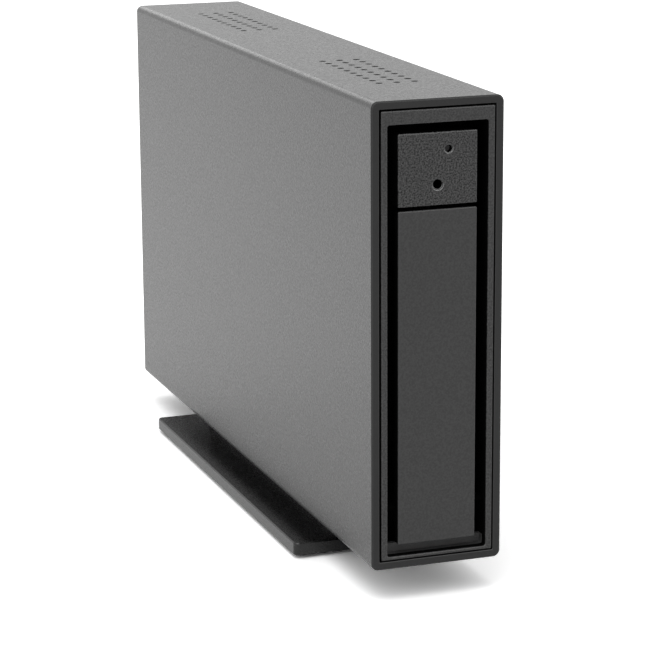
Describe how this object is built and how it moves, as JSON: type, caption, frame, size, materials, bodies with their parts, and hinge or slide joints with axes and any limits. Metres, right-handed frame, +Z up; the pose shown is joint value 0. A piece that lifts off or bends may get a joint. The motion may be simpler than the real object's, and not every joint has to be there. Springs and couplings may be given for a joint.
{
  "type": "external solid state drive",
  "caption": "Upright metal drive enclosure on a flat stand, with a slide-out tray behind a push button and a hinged pull handle in a deep front well.",
  "frame": {"origin": "on the surface that the feet stand on, midway between the sides and between the front and back", "axes": "+Z up, front of the drive faces -Y, +X to the right as seen from the front"},
  "size_m": [0.0486, 0.209, 0.1264],
  "materials": {
    "sleeve_metal": "fine satin, dark grey anodised or powder coated",
    "stand_metal": "satin, near black",
    "dark_rubber": "matte",
    "black_screw": "black zinc",
    "bright_screw": "bright zinc",
    "rail_plastic": "moulded, matte",
    "panel_metal": "fine satin, dark grey",
    "sheet_steel": "zinc-coated sheet",
    "board_green": "solder resist",
    "connector_plastic": "moulded",
    "clear_plastic": "clear, polished",
    "smoked_lens": "polished, nearly black when unlit",
    "brass": "bright",
    "chip_plastic": "moulded package",
    "can_metal": "drawn can",
    "port_steel": "plated",
    "switch_plastic": "moulded",
    "rocker_plastic": "moulded",
    "lead_covering": "soft covering",
    "front_plastic": "fine spark texture",
    "button_plastic": "coarse spark texture",
    "handle_plastic": "fine spark texture",
    "drive_metal": "blasted, anodised",
    "spring_steel": "blackened wire, strip and pin"
  },
  "bodies": {
    "housing": {"sleeve": "sleeve_metal", "stand_plate": "stand_metal", "stand_spacer": "dark_rubber", "stand_feet": "dark_rubber", "stand_screws": "black_screw", "guide_rail_upper_left": "rail_plastic", "guide_rail_upper_right": "rail_plastic", "guide_rail_lower_left": "rail_plastic", "guide_rail_lower_right": "rail_plastic", "rear_panel": "panel_metal", "rear_panel_screws": "black_screw", "bracket_screws": "black_screw", "board_bracket": "sheet_steel", "backplane_board": "board_green", "backplane_screws": "bright_screw", "drive_socket": "connector_plastic", "indicator_light": "clear_plastic", "board_header": "connector_plastic", "main_board": "board_green", "board_standoffs": "brass", "main_board_screws": "bright_screw", "bridge_chip": "chip_plastic", "power_inductor": "chip_plastic", "filter_capacitors": "can_metal", "data_port_shell": "port_steel", "data_port_tongue": "connector_plastic", "power_jack": "connector_plastic", "power_jack_pin": "brass", "switch_body": "switch_plastic", "switch_terminals": "brass", "switch_leads": "lead_covering"},
    "tray": {"tray_front": "front_plastic", "tray_channel": "sheet_steel", "tray_screws": "bright_screw", "drive_adapter": "rail_plastic", "adapter_screws": "bright_screw", "drive_screws": "bright_screw", "drive_case": "drive_metal", "drive_cover": "drive_metal", "drive_board": "board_green", "memory_chips": "chip_plastic", "drive_controller": "chip_plastic", "drive_plug": "connector_plastic", "light_pipe": "clear_plastic", "button_springs": "spring_steel", "handle_spring": "spring_steel", "spring_catch": "spring_steel", "catch_screw": "bright_screw", "hinge_pin": "spring_steel"},
    "button": {"release_button": "button_plastic", "indicator_lens": "smoked_lens"},
    "handle": {"pull_handle": "handle_plastic"},
    "rocker": {"power_rocker": "rocker_plastic"}
  },
  "joints": [
    {"name": "tray_slide", "type": "slide", "parent": "housing", "child": "tray", "axis": [0, -1, 0], "range_m": [0, 0.11]},
    {"name": "button_press", "type": "slide", "parent": "tray", "child": "button", "axis": [0, 1, 0], "range_m": [0, 0.002], "stiffness_N_per_m": 400, "deforming": ["button_springs"]},
    {"name": "handle_hinge", "type": "hinge", "parent": "tray", "child": "handle", "pos_m": [0, -0.10155, 0.024], "axis": [1, 0, 0], "range_deg": [0, 75], "deforming": ["spring_catch"]},
    {"name": "rocker_tilt", "type": "hinge", "parent": "housing", "child": "rocker", "pos_m": [0, 0.09815, 0.0944], "axis": [1, 0, 0], "range_deg": [0, 16]}
  ]
}
